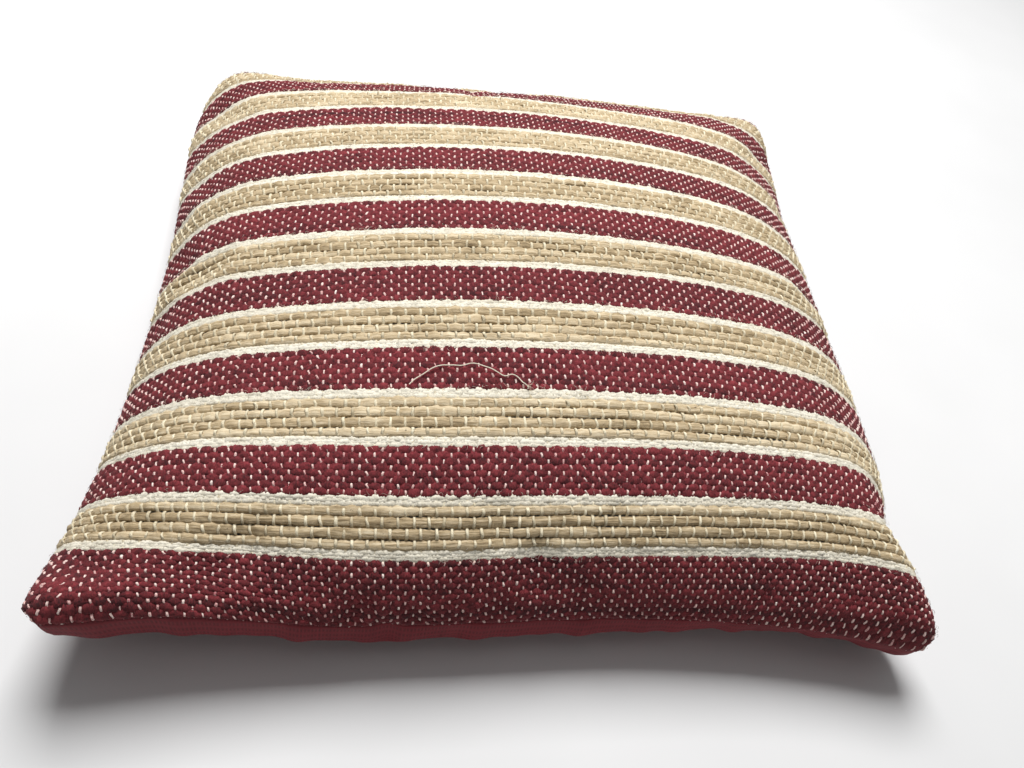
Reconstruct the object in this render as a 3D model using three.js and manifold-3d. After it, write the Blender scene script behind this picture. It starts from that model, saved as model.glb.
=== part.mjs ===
// Square floor cushion: a woven striped front panel and a plain back panel sewn
// together round a fibre-filled insert, with a coil zip in the rear seam.
// Millimetres, +Z up. Origin: centre of the footprint on the floor; front edge towards -Y.
import * as THREE from 'three';
import Module from 'manifold-3d';
import { mergeVertices } from 'three/addons/utils/BufferGeometryUtils.js';

const wasm = await Module();
wasm.setup();

// ---- Driving dimensions ----
const CLOTH_SIDE = 600;        // each cut panel, between its seams
const MIDDLE_HALF = 262;       // from the centre to the middle of a filled edge
const CORNER_HALF = 290;       // the same for the ends of an edge, before the corners draw in
const CORNER_DRAW = 0.06;      // share by which the filling draws the corners in
const INSERT_CORNER_DRAW = 0.09;   // the insert stops short of the cover's corners
const CORNER_DRIFT = 12;       // the front corners lie this far left, the rear ones right
const CROWN_HEIGHT = 137;      // top of the cushion
const SEAM_HEIGHT = 46;        // seam above the floor
const SHOULDER = 0.27;         // how late a cross-section turns down towards the seam
const CROWN_POWER = 0.86;      // under 1: flatter crown, steeper sides
const FOOT_SPREAD = 1.15;      // over 1: the underside lies flat on the floor over a wide area
const FOOT_POWER = 0.3;

const FRONT_THICKNESS = 3.5;
const BACK_THICKNESS = 1.5;
const CASE_THICKNESS = 1.0;
const CASE_CLEARANCE = 3.5;    // between the cover and the insert
const TOUCH_GAP = 0.3;

// Stripes of the front panel, counted along the warp from the front seam
const MAROON_WIDTH = 30.8;     // 8 picks of thick soft yarn
const COTTON_WIDTH = 5.8;      // 3 picks of white cotton
const JUTE_WIDTH = 27.6;       // 4 rows of jute bundles
const FRONT_BAND_WIDTH = 49.0; // the first maroon band, wider than the others
const REPEATS = 8;             // cotton, jute, cotton, maroon

// Zip in the middle of the rear seam (No. 5 coil)
const CHAIN_LENGTH = 390;
const TAPE_LENGTH = 410;
const TAPE_REACH = 11;         // height of a tape above or below the zip's centre line
const TAPE_THICKNESS = 0.6;
const COIL_INNER = 0.7;        // half of the gap in which the slider's post runs
const COIL_OUTER = 3.1;
const COIL_DEPTH = 2.2;
const ZIP_FACE = MIDDLE_HALF - FRONT_THICKNESS - 1.8;   // outer face of the tapes
const LIP_OPENING = 6.5;       // half-height of the opening between the cover's two lips
const POCKET_DEPTH = 2.5;      // extra room for the slider in front of the insert
const SLIDER_LENGTH = 11;
const SLIDER_HALF_WIDTH = 4.7;
const PLATE_THICKNESS = 1.2;
const POST_HALF_WIDTH = 0.35;
const STOP_LENGTH = 2.5;
const SLIDER_X = CHAIN_LENGTH / 2 - SLIDER_LENGTH / 2 - 0.5;   // closed
const PULL_LENGTH = 26;
const PULL_HALF_WIDTH = 3.4;

const THREAD_DIAMETER = 0.7;
const GRID = 16;               // cells along a panel's edge

// ---- Materials ----
function material(name, color, roughness, metalness = 0) {
  return new THREE.MeshStandardMaterial({ name, color, roughness, metalness });
}
const maroonYarn = material('maroon_yarn', 0x7a2233, 0.95);
const jute = material('jute', 0xbfa77c, 0.9);
const whiteCotton = material('white_cotton', 0xe6dcc6, 0.95);
const backCloth = material('back_cloth', 0x74142a, 0.9);
const caseCloth = material('case_cloth', 0xf0eee8, 0.9);
const fibre = material('fibre', 0xf7f6f2, 1.0);
const zipTape = material('zip_tape', 0x5c1424, 0.9);
const coilNylon = material('coil_nylon', 0x6a1a2a, 0.5);
const zipMetal = material('zip_metal', 0x8a8d90, 0.35, 1.0);

const cushion = new THREE.Group();

function add(name, geometry, surface, parent = cushion) {
  const mesh = new THREE.Mesh(geometry, surface);
  mesh.name = name;
  parent.add(mesh);
  return mesh;
}

// ---- The filled shape ----
// u runs across the cushion (-1 left, 1 right) and v from front (-1) to rear (1);
// equal steps of u or v are equal lengths of cloth.
const smooth = THREE.MathUtils.smoothstep;

function turn(t) {
  return (Math.PI / 2) * t * (1 - SHOULDER + SHOULDER * t * t);
}

// 1 where the zip opens the rear seam, 0 elsewhere
function zipWindow(u, v) {
  const along = 1 - smooth(Math.abs(u), 0.72, 0.82);
  const near = Math.max(0, 2 * v - 1);
  return along * near * near;
}

// A point of the top (side 1) or underside (side -1), moved in from the outer
// surface by `inset` at the sides and `drop` at the crown or the floor.
function shapePoint(u, v, side, inset, drop) {
  const window = zipWindow(u, v);
  const inside = inset > FRONT_THICKNESS ? inset + POCKET_DEPTH * window : inset;
  const middle = MIDDLE_HALF - inside;
  const corner = CORNER_HALF - inside;
  const riseU = Math.max(Math.cos(turn(u)), 0);
  const riseV = Math.max(Math.cos(turn(v)), 0);
  const rearStraight = smooth(v, 0, 1);
  const pullX = 1 - v ** 4;
  const pullY = 1 - Math.abs(u) ** (4 + 8 * rearStraight);
  const cornerDraw = inset > FRONT_THICKNESS ? INSERT_CORNER_DRAW : CORNER_DRAW;
  const draw = 1 - cornerDraw * (u * v) ** 8;
  const x = draw * (middle * Math.sin(turn(u)) * pullX + corner * u * (1 - pullX))
    + CORNER_DRIFT * v ** 3 * u ** 2;
  const y = draw * (middle * Math.sin(turn(v)) * pullY + corner * v * (1 - pullY));

  const opening = TOUCH_GAP + (LIP_OPENING - TOUCH_GAP) * window;
  const seam = SEAM_HEIGHT + side * opening;
  const rise = riseU * riseV;
  if (side > 0) {
    return new THREE.Vector3(x, y, seam + (CROWN_HEIGHT - drop - seam) * rise ** CROWN_POWER);
  }
  const fall = Math.min(1, FOOT_SPREAD * rise ** FOOT_POWER);
  return new THREE.Vector3(x, y, seam - (seam - drop) * fall);
}

// Closer steps towards the seams, where the cloth turns down
function step(k, cells) {
  const t = (2 * k) / cells - 1;
  return t * (1.25 - 0.25 * t * t);
}

// A closed body between an outer and an inner sheet of points
function sheetBody(outer, inner, vSteps) {
  const nu = GRID;
  const nv = vSteps.length - 1;
  const positions = [];
  for (const sheet of [outer, inner]) {
    for (let i = 0; i <= nu; i++) {
      for (let j = 0; j <= nv; j++) {
        positions.push(...sheet(step(i, nu), vSteps[j]).toArray());
      }
    }
  }
  const innerStart = (nu + 1) * (nv + 1);
  const at = (i, j) => i * (nv + 1) + j;
  const faces = [];
  const quad = (a, b, c, d) => faces.push(a, b, c, a, c, d);
  for (let i = 0; i < nu; i++) {
    for (let j = 0; j < nv; j++) {
      const [a, b, c, d] = [at(i, j), at(i + 1, j), at(i + 1, j + 1), at(i, j + 1)];
      quad(a, b, c, d);
      // the same diagonal as outside, so that nested sheets keep their distance
      const [e, f, g, h] = [a, b, c, d].map((vertex) => vertex + innerStart);
      faces.push(e, g, f, e, h, g);
    }
  }
  const rim = (a, b) => quad(b, a, a + innerStart, b + innerStart);
  for (let i = 0; i < nu; i++) {
    rim(at(i, 0), at(i + 1, 0));
    rim(at(i + 1, nv), at(i, nv));
  }
  for (let j = 0; j < nv; j++) {
    rim(at(nu, j), at(nu, j + 1));
    rim(at(0, j + 1), at(0, j));
  }
  const geometry = new THREE.BufferGeometry();
  geometry.setAttribute('position', new THREE.Float32BufferAttribute(positions, 3));
  geometry.setIndex(faces);
  return geometry;
}

const wholeSteps = Array.from({ length: GRID + 1 }, (_, k) => step(k, GRID));

function topBody(inset, thickness, vSteps = wholeSteps) {
  const deep = inset + thickness;
  return sheetBody(
    (u, v) => shapePoint(u, v, 1, inset, inset),
    (u, v) => shapePoint(u, v, 1, deep, deep),
    vSteps,
  );
}

function bottomBody(inset, drop, thickness) {
  return sheetBody(
    (u, v) => shapePoint(u, v, -1, inset + thickness, drop + thickness),
    (u, v) => shapePoint(u, v, -1, inset, drop),
    wholeSteps,
  );
}

// ---- Woven front panel: one band for each weft yarn ----
function band(name, start, width, surface) {
  const from = start + TOUCH_GAP / 2;
  const to = Math.min(start + width, CLOTH_SIDE + TOUCH_GAP / 2) - TOUCH_GAP / 2;
  const cells = Math.ceil(width / 10);
  const vSteps = Array.from(
    { length: cells + 1 },
    (_, k) => Math.max(-1, ((from + ((to - from) * k) / cells) * 2) / CLOTH_SIDE - 1),
  );
  add(name, topBody(0, FRONT_THICKNESS, vSteps), surface);
}

band('maroon_band_1', -TOUCH_GAP / 2, FRONT_BAND_WIDTH + TOUCH_GAP / 2, maroonYarn);
let warpPosition = FRONT_BAND_WIDTH;
for (let repeat = 1; repeat <= REPEATS; repeat++) {
  band(`cotton_band_${2 * repeat - 1}`, warpPosition, COTTON_WIDTH, whiteCotton);
  warpPosition += COTTON_WIDTH;
  band(`jute_band_${repeat}`, warpPosition, JUTE_WIDTH, jute);
  warpPosition += JUTE_WIDTH;
  band(`cotton_band_${2 * repeat}`, warpPosition, COTTON_WIDTH, whiteCotton);
  warpPosition += COTTON_WIDTH;
  const maroonWidth = Math.min(MAROON_WIDTH, CLOTH_SIDE - warpPosition);
  band(`maroon_band_${repeat + 1}`, warpPosition, maroonWidth, maroonYarn);
  warpPosition += maroonWidth;
}

// ---- Back panel and insert ----
add('back_panel', bottomBody(0, 0, BACK_THICKNESS), backCloth);

const caseInset = FRONT_THICKNESS + CASE_CLEARANCE;
const caseFloor = BACK_THICKNESS + CASE_CLEARANCE / 2;
add('insert_case_top', topBody(caseInset, CASE_THICKNESS), caseCloth);
add('insert_case_bottom', bottomBody(caseInset, caseFloor, CASE_THICKNESS), caseCloth);

const fillingInset = caseInset + CASE_THICKNESS + TOUCH_GAP;
const fillingFloor = caseFloor + CASE_THICKNESS + TOUCH_GAP;
add('fibre_filling', sheetBody(
  (u, v) => shapePoint(u, v, 1, fillingInset, fillingInset),
  (u, v) => shapePoint(u, v, -1, fillingInset, fillingFloor),
  wholeSteps,
), fibre);

// ---- Zip ----
// The zip's group stands at the seam's height with its face towards the rear.
const zip = new THREE.Group();
zip.position.set(0, ZIP_FACE, SEAM_HEIGHT);
cushion.add(zip);

function block(name, size, centre, surface) {
  const mesh = add(name, new THREE.BoxGeometry(...size), surface, zip);
  mesh.position.set(...centre);
}

const coilMiddle = (COIL_INNER + COIL_OUTER) / 2;
const coilFace = TOUCH_GAP + COIL_DEPTH;
for (const [name, side] of [['upper', 1], ['lower', -1]]) {
  block(
    `zip_tape_${name}`,
    [TAPE_LENGTH, TAPE_THICKNESS, TAPE_REACH - COIL_INNER],
    [0, -TAPE_THICKNESS / 2, (side * (TAPE_REACH + COIL_INNER)) / 2],
    zipTape,
  );
  block(
    `zip_coil_${name}`,
    [CHAIN_LENGTH, COIL_DEPTH, COIL_OUTER - COIL_INNER],
    [0, TOUCH_GAP + COIL_DEPTH / 2, side * coilMiddle],
    coilNylon,
  );
  block(
    `zip_top_stop_${name}`,
    [STOP_LENGTH, COIL_DEPTH, COIL_OUTER - COIL_INNER],
    [CHAIN_LENGTH / 2 + 1 + STOP_LENGTH / 2, TOUCH_GAP + COIL_DEPTH / 2, side * coilMiddle],
    zipMetal,
  );
}
block(
  'zip_bottom_stop',
  [STOP_LENGTH, COIL_DEPTH, 2 * COIL_OUTER],
  [-CHAIN_LENGTH / 2 - 1 - STOP_LENGTH / 2, TOUCH_GAP + COIL_DEPTH / 2, 0],
  zipMetal,
);

// Extrudes an outline and centres it along its extrusion
function slab(outline, depth) {
  const geometry = new THREE.ExtrudeGeometry(outline, {
    depth, bevelEnabled: false, curveSegments: 6,
  });
  return geometry.translate(0, 0, -depth / 2);
}

function solid(geometry) {
  const plain = geometry.clone();
  plain.deleteAttribute('normal');
  plain.deleteAttribute('uv');
  const merged = mergeVertices(plain, 1e-4);
  return new wasm.Manifold(new wasm.Mesh({
    numProp: 3,
    vertProperties: new Float32Array(merged.attributes.position.array),
    triVerts: new Uint32Array(merged.index.array),
  }));
}

function geometryOf(manifold) {
  const { vertProperties, triVerts } = manifold.getMesh();
  const geometry = new THREE.BufferGeometry();
  geometry.setAttribute('position', new THREE.BufferAttribute(vertProperties, 3));
  geometry.setIndex(new THREE.BufferAttribute(triVerts, 1));
  return geometry;
}

// Slider: two plates joined by a post that runs between the coils. Its outline is
// drawn across the zip (X = height on the tapes, Y = away from the cushion).
const outerPlateBottom = coilFace + TOUCH_GAP;
const outerPlateTop = outerPlateBottom + PLATE_THICKNESS;
const innerPlateTop = -TAPE_THICKNESS - TOUCH_GAP;
const innerPlateBottom = innerPlateTop - PLATE_THICKNESS;
const flangeInner = COIL_OUTER + TOUCH_GAP;

const sliderOutline = new THREE.Shape([
  [-SLIDER_HALF_WIDTH, innerPlateBottom], [SLIDER_HALF_WIDTH, innerPlateBottom],
  [SLIDER_HALF_WIDTH, innerPlateTop], [POST_HALF_WIDTH, innerPlateTop],
  [POST_HALF_WIDTH, outerPlateBottom], [flangeInner, outerPlateBottom],
  [flangeInner, TOUCH_GAP], [SLIDER_HALF_WIDTH, TOUCH_GAP],
  [SLIDER_HALF_WIDTH, outerPlateTop], [-SLIDER_HALF_WIDTH, outerPlateTop],
  [-SLIDER_HALF_WIDTH, TOUCH_GAP], [-flangeInner, TOUCH_GAP],
  [-flangeInner, outerPlateBottom], [-POST_HALF_WIDTH, outerPlateBottom],
  [-POST_HALF_WIDTH, innerPlateTop], [-SLIDER_HALF_WIDTH, innerPlateTop],
].map(([x, y]) => new THREE.Vector2(x, y)));

// Crown: the arch on the slider that carries the pull's bar in its slot
const CROWN_HALF_LENGTH = 4.2;
const CROWN_RISE = 3.6;
const CROWN_WIDTH = 1.6;
const SLOT_HALF_LENGTH = 2.6;
const SLOT_BOTTOM = outerPlateTop + 0.5;
const SLOT_HEIGHT = 1.9;
const BAR_HEIGHT = SLOT_BOTTOM + SLOT_HEIGHT / 2;

const crownOutline = new THREE.Shape();
crownOutline.moveTo(-CROWN_HALF_LENGTH, outerPlateTop - 0.4);
crownOutline.lineTo(CROWN_HALF_LENGTH, outerPlateTop - 0.4);
crownOutline.lineTo(CROWN_HALF_LENGTH, outerPlateTop + CROWN_RISE / 2);
crownOutline.quadraticCurveTo(
  CROWN_HALF_LENGTH, outerPlateTop + CROWN_RISE,
  CROWN_HALF_LENGTH - CROWN_RISE / 2, outerPlateTop + CROWN_RISE,
);
crownOutline.lineTo(-CROWN_HALF_LENGTH + CROWN_RISE / 2, outerPlateTop + CROWN_RISE);
crownOutline.quadraticCurveTo(
  -CROWN_HALF_LENGTH, outerPlateTop + CROWN_RISE,
  -CROWN_HALF_LENGTH, outerPlateTop + CROWN_RISE / 2,
);
crownOutline.closePath();
crownOutline.holes.push(new THREE.Path([
  new THREE.Vector2(-SLOT_HALF_LENGTH, SLOT_BOTTOM),
  new THREE.Vector2(-SLOT_HALF_LENGTH, SLOT_BOTTOM + SLOT_HEIGHT),
  new THREE.Vector2(SLOT_HALF_LENGTH, SLOT_BOTTOM + SLOT_HEIGHT),
  new THREE.Vector2(SLOT_HALF_LENGTH, SLOT_BOTTOM),
]));

// The section's X, Y and extrusion become the zip's Z, Y and -X
const plates = slab(sliderOutline, SLIDER_LENGTH).rotateY(-Math.PI / 2);
const crown = slab(crownOutline, CROWN_WIDTH);
const slider = add('zip_slider', geometryOf(solid(plates).add(solid(crown))), zipMetal, zip);
slider.position.x = SLIDER_X;

// Pull: a flat tab with a window; the window's end bar sits in the crown's slot
const BAR_HALF = 0.6;
const WINDOW_HALF_WIDTH = CROWN_WIDTH / 2 + 0.4;
const WINDOW_LENGTH = CROWN_HALF_LENGTH + 1;

const pullOutline = new THREE.Shape();
pullOutline.moveTo(BAR_HALF, -WINDOW_HALF_WIDTH - 1);
pullOutline.lineTo(BAR_HALF, WINDOW_HALF_WIDTH + 1);
pullOutline.lineTo(-WINDOW_LENGTH, PULL_HALF_WIDTH);
pullOutline.lineTo(-PULL_LENGTH + PULL_HALF_WIDTH, PULL_HALF_WIDTH);
pullOutline.absarc(
  -PULL_LENGTH + PULL_HALF_WIDTH, 0, PULL_HALF_WIDTH, Math.PI / 2, (3 * Math.PI) / 2, false,
);
pullOutline.lineTo(-WINDOW_LENGTH, -PULL_HALF_WIDTH);
pullOutline.closePath();
pullOutline.holes.push(new THREE.Path([
  new THREE.Vector2(-BAR_HALF, -WINDOW_HALF_WIDTH),
  new THREE.Vector2(-WINDOW_LENGTH, -WINDOW_HALF_WIDTH),
  new THREE.Vector2(-WINDOW_LENGTH, WINDOW_HALF_WIDTH),
  new THREE.Vector2(-BAR_HALF, WINDOW_HALF_WIDTH),
]));
const pullGeometry = slab(pullOutline, 2 * BAR_HALF).rotateX(Math.PI / 2);
const pull = add('zip_pull', pullGeometry, zipMetal, zip);
pull.position.set(SLIDER_X, BAR_HEIGHT, 0);

// ---- Loose thread lying on the third maroon band ----
// Its route on the cloth, as x and y; the height follows the crown.
const threadRoute = [
  [-83, -141], [-79, -137], [-74, -133.5], [-68.5, -130], [-63.5, -128.2], [-57.5, -128.6],
  [-52, -128.8], [-45.5, -127.4], [-40, -128.2], [-34.5, -130], [-30, -132.8],
  [-25, -135.3], [-20.3, -134.3], [-16.4, -135.8], [-13.8, -139.3], [-11.5, -141],
];
const FACET_ALLOWANCE = 1.6;   // keeps the thread clear of the cloth's flat facets

// Height of the outer surface above a point of the plan
function crownHeightAt(x, y) {
  let u = x / MIDDLE_HALF;
  let v = y / MIDDLE_HALF;
  for (let pass = 0; pass < 12; pass++) {
    const point = shapePoint(u, v, 1, 0, 0);
    u += (x - point.x) / CORNER_HALF;
    v += (y - point.y) / CORNER_HALF;
  }
  return shapePoint(u, v, 1, 0, 0).z;
}

function threadGeometry() {
  const lift = THREAD_DIAMETER / 2 + FACET_ALLOWANCE;
  const route = new THREE.CatmullRomCurve3(
    threadRoute.map(([x, y]) => new THREE.Vector3(x, y, crownHeightAt(x, y) + lift)),
  );
  const section = new THREE.Shape();
  section.absarc(0, 0, THREAD_DIAMETER / 2, 0, 2 * Math.PI, false);
  return new THREE.ExtrudeGeometry(section, {
    steps: 56, curveSegments: 4, bevelEnabled: false, extrudePath: route,
  });
}
add('loose_thread', threadGeometry(), whiteCotton);

export default cushion;
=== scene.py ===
"""Looks of the striped floor cushion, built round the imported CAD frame."""
import math

import bpy
import numpy as np
from mathutils import Matrix, Vector


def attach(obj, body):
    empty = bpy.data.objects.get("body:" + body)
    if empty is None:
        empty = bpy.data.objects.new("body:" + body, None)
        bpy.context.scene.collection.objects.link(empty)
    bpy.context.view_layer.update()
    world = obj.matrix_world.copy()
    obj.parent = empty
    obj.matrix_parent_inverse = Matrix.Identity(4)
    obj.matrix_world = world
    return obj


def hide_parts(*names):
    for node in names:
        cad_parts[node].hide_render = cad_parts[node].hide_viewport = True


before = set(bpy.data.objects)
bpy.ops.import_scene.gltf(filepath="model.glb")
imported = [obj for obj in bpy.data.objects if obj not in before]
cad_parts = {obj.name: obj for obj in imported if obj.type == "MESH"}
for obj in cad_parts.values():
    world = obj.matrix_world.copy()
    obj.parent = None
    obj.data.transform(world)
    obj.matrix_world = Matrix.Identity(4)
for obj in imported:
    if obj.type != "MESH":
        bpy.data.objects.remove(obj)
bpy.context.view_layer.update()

MM = 0.001
rng = np.random.default_rng(7)

# ---------------------------------------------------------------- driving sizes (metres)
CLOTH = 0.600                  # side of each cut panel between its seams
SIDE_HALF = 0.2634             # from the centre to the middle of a filled side
FRONT_HALF, REAR_HALF = 0.2667, 0.2575   # the same for the front and the rear
CORNER_HALF = 0.2887           # the same along an edge, before its corners draw in
CORNER_DRIFT = 0.0126          # the front corners lie further left, the rear ones further right
FRONT_DRAW = 0.047             # how far the front and rear corners draw in, as a share
REAR_DRAW = 0.100
EAR_PINCH = 0.0116             # the right side pinches in behind its front corner
TIP_DRAW = 0.045               # blunts the very tip of each corner
BLUNTNESS = 0.016              # height of the steep cloth at a corner
CORNER_PUFF = 0.060            # and the filling rounds it out above and below
CROWN = 0.1287                 # mean height of the crown
CROWN_TILT_X = 0.055           # the right half is filled a little higher
CROWN_TILT_Y = -0.054          # and so is the front half
SEAM_MIDDLE = 0.046            # seam height at the middle of the sides
SEAM_FRONT = 0.045             # at the middle of the front edge
SEAM_CORNER = 0.060            # at the corners, which curl up
SIDE_PULL = 0.89               # how far the curve of a filled side reaches towards its corners
SHOULDER = 0.28                # share of the cloth's turn that comes late, near the sides
RISE_POWER = 1.10              # how steeply the top rises from its seam
RISE_BLEND = 1.31              # how sharply the slopes of neighbouring sides meet
CROWN_PUFF = 0.10              # extra height between the seam and the crown, as a share
FOOT_POWER = 0.41              # how soon the underside comes down to the floor
FOOT_REACH = 1.12              # and how far out it lies flat

ZIP_Y, ZIP_Z = 0.2567, 0.046   # middle of the zip, on the face of its tapes
ZIP_OPENING = 0.0065           # half of the gap between the cover's two lips
ZIP_OPEN_TO = (-0.217, 0.197)  # the lips start to close past these ends
ZIP_CLOSING = 0.018            # and meet over this length
LIP_OVERHANG, LIP_UNDERHANG = 0.0036, 0.0026   # how far each lip stands out past the tapes

PRESSURE = 3.0                 # of the filling, in the cloth simulation
WEIGHT = 0.1                   # share of gravity that holds it to the floor
BENDING = 3.0                  # stiffness against folding
CLOTH_MASS = 480               # shared out over the cells of the grid
SIMULATION_FRAMES = 40         # enough for the cover to settle
MOST_MOVED = 0.012             # no point moves further than this from the filled shape
COVER_CELLS = 80               # cells along a side of the simulated cover
SHEET_CELLS = 480              # and of the smooth sheets that are read from it

VIEW_FROM = (-0.1012, -0.4434, 0.5215)
VIEW_PITCH, VIEW_YAW, VIEW_ROLL = 51.49, 14.90, -13.85   # degrees: down, to the right, rolled
LENS, SENSOR = 28.88, 36.0     # millimetres

WARP_COUNT = 132
WARP_PITCH = CLOTH / WARP_COUNT
YARN_SHIFT = 0.7               # metres of the `yarn` map between neighbours, so that none match


# ---------------------------------------------------------------- camera
def make_camera():
    """From the front, looking down about 51 degrees, turned a little and rolled."""
    data = bpy.data.cameras.new("camera")
    data.sensor_width = SENSOR
    data.lens = LENS
    camera = link(bpy.data.objects.new("camera", data))
    pitch, yaw, roll = (math.radians(angle) for angle in (VIEW_PITCH, VIEW_YAW, VIEW_ROLL))
    forward = Vector((
        math.sin(yaw) * math.cos(pitch), math.cos(yaw) * math.cos(pitch), -math.sin(pitch),
    ))
    level = Vector((math.cos(yaw), -math.sin(yaw), 0.0))
    down = forward.cross(level)
    right = math.cos(roll) * level + math.sin(roll) * down
    up = -(-math.sin(roll) * level + math.cos(roll) * down)
    turn = Matrix((right, up, -forward)).transposed()
    camera.matrix_world = Matrix.Translation(VIEW_FROM) @ turn.to_4x4()
    data.clip_start = 0.01
    bpy.context.scene.camera = camera


# ---------------------------------------------------------------- the filled shape
def turn_angle(t):
    """How far the cloth has turned from level, `t` of the way from the middle to a side."""
    return (np.pi / 2) * t * (1 - SHOULDER + SHOULDER * t * t)


def swell(t, centre, width):
    """A smooth swelling of height 1 round `centre`."""
    return np.exp(-((t - centre) / width) ** 2)


def ease(t):
    """From 0 to 1, level at both ends."""
    t = np.clip(t, 0, 1)
    return t * t * (3 - 2 * t)


def filled_shape(across, along, side):
    """Grid of points of the top (side 1) or the underside (side -1) of the filled cover."""
    u, v = np.meshgrid(across, along, indexing="ij")
    sin_u, cos_u = np.sin(turn_angle(u)), np.clip(np.cos(turn_angle(u)), 1e-6, 1)
    sin_v, cos_v = np.sin(turn_angle(v)), np.clip(np.cos(turn_angle(v)), 1e-6, 1)
    pull_u, pull_v = cos_u ** SIDE_PULL, cos_v ** SIDE_PULL
    draw = np.where(v < 0, FRONT_DRAW, REAR_DRAW)
    corner = 1 - draw * np.abs(u * v) ** 5 - TIP_DRAW * np.abs(u * v) ** 24
    x = (SIDE_HALF * sin_u * pull_v + CORNER_HALF * u * (1 - pull_v)) * corner
    half = np.where(v < 0, FRONT_HALF, REAR_HALF)
    y = (half * sin_v * pull_u + CORNER_HALF * v * (1 - pull_u)) * corner
    x = x - EAR_PINCH * swell(v, -0.72, 0.16) * np.clip(u, 0, 1) ** 2
    seam = SEAM_MIDDLE + (SEAM_CORNER - SEAM_MIDDLE) * np.abs(u * v) ** 3
    seam = seam + (SEAM_FRONT - SEAM_MIDDLE) * np.clip(-v, 0, 1) ** 2 * (1 - u ** 4)
    plump = (u * v) ** 4 * (1 - u ** 8) * (1 - v ** 8)
    rise = (cos_u ** -RISE_BLEND + cos_v ** -RISE_BLEND - 1) ** (-1 / RISE_BLEND)
    if side > 0:
        crown = CROWN * (1 + CROWN_TILT_X * u + CROWN_TILT_Y * v)
        z = seam + (crown - seam) * rise ** RISE_POWER * (1 + CROWN_PUFF * (1 - rise))
        z = z + CORNER_PUFF * plump
    else:
        z = seam * (1 - np.minimum(1, FOOT_REACH * rise ** FOOT_POWER))
        z = np.maximum(z - CORNER_PUFF * plump, 0)
    return np.stack([x, y, z], -1)


def even_lines(cells):
    """Lines of the grid that lie evenly along the cloth, across it and along it."""
    fine = np.linspace(-1, 1, 801)
    middle = np.array([0.0])
    lines = []
    for path in (filled_shape(fine, middle, 1)[:, 0], filled_shape(middle, fine, 1)[0]):
        steps = np.linalg.norm(np.diff(path, axis=0), axis=1)
        run = np.concatenate([[0], np.cumsum(steps)])
        lines.append(np.interp(np.linspace(0, run[-1], cells + 1), run, fine))
    return lines


def simulated_cover(cells):
    """Cloth simulation of the stuffed cover: its top and underside as grids of points."""
    across, along = even_lines(cells)
    top, under = filled_shape(across, along, 1), filled_shape(across, along, -1)
    count = cells + 1
    top_index = np.arange(count * count).reshape(count, count)
    under_index = top_index.copy()
    inner = count * count + np.arange((count - 2) ** 2).reshape(count - 2, count - 2)
    under_index[1:-1, 1:-1] = inner
    points = np.concatenate([top.reshape(-1, 3), under[1:-1, 1:-1].reshape(-1, 3)])
    faces = np.concatenate([grid_quads(top_index, False), grid_quads(under_index, True)])
    cover = mesh_object("cover_simulation", points, faces.ravel(), np.full(len(faces), 4))
    ground = square("ground_simulation", 1)
    ground.modifiers.new("collision", "COLLISION")
    ground.collision.thickness_outer = 0.001
    # the cloth keeps the lengths of the two flat panels that it was cut as
    flat = np.linspace(-CLOTH / 2, CLOTH / 2, count)
    flat_x, flat_y = np.meshgrid(flat, flat, indexing="ij")
    flat_points = np.empty_like(points)
    for index, height in ((under_index, -0.001), (top_index, 0.001)):
        flat_points[index] = np.stack([flat_x, flat_y, np.full_like(flat_x, height)], -1)
    cover.shape_key_add(name="filled")
    cut = cover.shape_key_add(name="cut")
    cut.data.foreach_set("co", flat_points.astype(np.float32).ravel())
    cloth = cover.modifiers.new("cloth", "CLOTH")
    settings = cloth.settings
    settings.rest_shape_key = cut
    settings.quality = 6
    settings.mass = CLOTH_MASS / cells ** 2
    settings.tension_stiffness = settings.compression_stiffness = 15
    settings.shear_stiffness = 5
    settings.bending_stiffness = BENDING
    settings.tension_damping = settings.compression_damping = settings.shear_damping = 5
    settings.use_pressure = True
    settings.uniform_pressure_force = PRESSURE
    settings.effector_weights.gravity = WEIGHT
    cloth.collision_settings.distance_min = 0.002
    scene = bpy.context.scene
    for number in range(1, SIMULATION_FRAMES + 1):
        scene.frame_set(number)
    depsgraph = bpy.context.evaluated_depsgraph_get()
    settled = np.empty(len(points) * 3, dtype=np.float32)
    cover.evaluated_get(depsgraph).data.vertices.foreach_get("co", settled)
    scene.frame_set(1)
    moved = settled.reshape(-1, 3) - points
    far = np.linalg.norm(moved, axis=1, keepdims=True)
    points = points + moved * np.minimum(1, MOST_MOVED / np.maximum(far, 1e-9))
    points[:, 2] = np.maximum(points[:, 2], 0)
    bpy.data.objects.remove(cover)
    bpy.data.objects.remove(ground)
    return points[top_index], points[under_index]


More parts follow.
